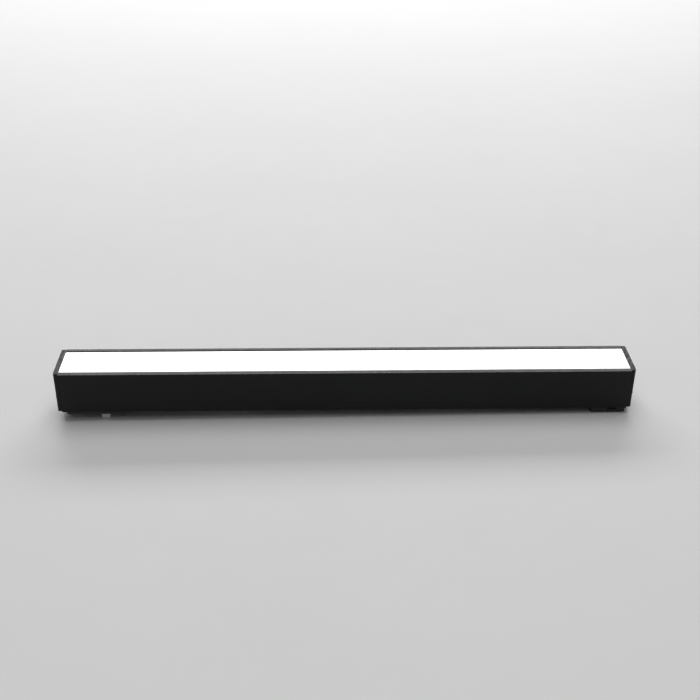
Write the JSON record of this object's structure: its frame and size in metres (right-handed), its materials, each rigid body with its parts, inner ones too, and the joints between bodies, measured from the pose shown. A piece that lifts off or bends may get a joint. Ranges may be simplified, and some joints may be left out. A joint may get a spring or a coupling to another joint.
{
  "type": "linear led light bar",
  "caption": "Slim black box-section light bar with an opal diffuser, sprung contact pins at one end and a latch at the other.",
  "frame": {"origin": "centre of the footprint, on the plane of the contact pins' tips", "axes": "+X along the bar from the contact pins to the latch, +Y across it, +Z the way the light shines"},
  "size_m": [0.3, 0.026, 0.0287],
  "materials": {
    "black_paint": "satin black powder coat over extruded and die-cast aluminium",
    "opal": "smooth opal acrylic, lit from behind",
    "black_plastic": "fine moulded texture",
    "black_screw": "black oxide",
    "nickel": "nickel plate",
    "zinc_steel": "bright zinc plate",
    "spring_steel": "drawn wire",
    "brass": "stamped sheet",
    "white_mask": "white solder mask on an aluminium-core board",
    "white_plastic": "moulded",
    "reflector_white": "matte reflective sheet",
    "grey_pad": "thermal pad",
    "green_board": "green solder mask",
    "ferrite": "sintered ferrite",
    "can_sleeve": "shrink sleeve",
    "chip_black": "moulded epoxy",
    "ceramic": "fired ceramic",
    "tray_plastic": "flame-retardant moulding",
    "rubber": "moulded",
    "red_insulation": "silicone",
    "black_insulation": "silicone"
  },
  "bodies": {
    "bar": {"housing": "black_paint", "diffuser": "opal", "end_cap_left": "black_paint", "cap_screw_left_front": "black_screw", "cap_screw_left_rear": "black_screw", "end_cap_right": "black_paint", "cap_screw_right_front": "black_screw", "cap_screw_right_rear": "black_screw", "back_plate": "black_paint", "thermal_pad": "grey_pad", "led_board": "white_mask", "led_terminal": "white_plastic", "led_board_screw_1": "zinc_steel", "led_board_screw_2": "zinc_steel", "led_board_screw_3": "zinc_steel", "reflector_front": "reflector_white", "reflector_rear": "reflector_white", "web_grommet": "rubber", "driver_tray": "tray_plastic", "driver_board": "green_board", "driver_input_terminal": "white_plastic", "driver_output_terminal": "white_plastic", "driver_fuse": "ceramic", "driver_input_capacitor": "can_sleeve", "driver_transistor": "chip_black", "driver_chip": "chip_black", "driver_diode": "chip_black", "driver_inductor": "ferrite", "driver_shunt": "chip_black", "driver_output_capacitor": "ceramic", "contact_head": "black_plastic", "contact_head_cover": "black_plastic", "contact_spring_front": "spring_steel", "contact_terminal_front": "brass", "contact_spring_rear": "spring_steel", "contact_terminal_rear": "brass", "contact_head_screw_outer": "black_screw", "contact_head_screw_inner": "black_screw", "latch_head": "black_plastic", "latch_head_cover": "black_plastic", "latch_spring_front": "spring_steel", "latch_spring_rear": "spring_steel", "latch_head_screw_front": "black_screw", "latch_head_screw_rear": "black_screw", "magnet_cup_left": "zinc_steel", "magnet_left": "nickel", "magnet_screw_left": "zinc_steel", "magnet_cup_right": "zinc_steel", "magnet_right": "nickel", "magnet_screw_right": "zinc_steel", "wire_supply_positive": "red_insulation", "wire_led_positive": "red_insulation", "wire_supply_negative": "black_insulation", "wire_led_negative": "black_insulation"},
    "pin_front": {"contact_pin_front": "nickel"},
    "pin_rear": {"contact_pin_rear": "nickel"},
    "tab_front": {"latch_tab_front": "black_plastic"},
    "tab_rear": {"latch_tab_rear": "black_plastic"}
  },
  "joints": [
    {"name": "contact_pin_front_press", "type": "slide", "parent": "bar", "child": "pin_front", "axis": [0, 0, 1], "range_m": [0, 0.002], "stiffness_N_per_m": 400, "springref_m": -0.003, "deforming": ["contact_spring_front"]},
    {"name": "contact_pin_rear_press", "type": "slide", "parent": "bar", "child": "pin_rear", "axis": [0, 0, 1], "range_m": [0, 0.002], "stiffness_N_per_m": 400, "springref_m": -0.003, "deforming": ["contact_spring_rear"]},
    {"name": "latch_tab_front_press", "type": "slide", "parent": "bar", "child": "tab_front", "axis": [0, 1, 0], "range_m": [0, 0.001], "stiffness_N_per_m": 300, "springref_m": -0.002, "deforming": ["latch_spring_front"]},
    {"name": "latch_tab_rear_press", "type": "slide", "parent": "bar", "child": "tab_rear", "axis": [0, -1, 0], "range_m": [0, 0.001], "stiffness_N_per_m": 300, "springref_m": -0.002, "deforming": ["latch_spring_rear"]}
  ]
}
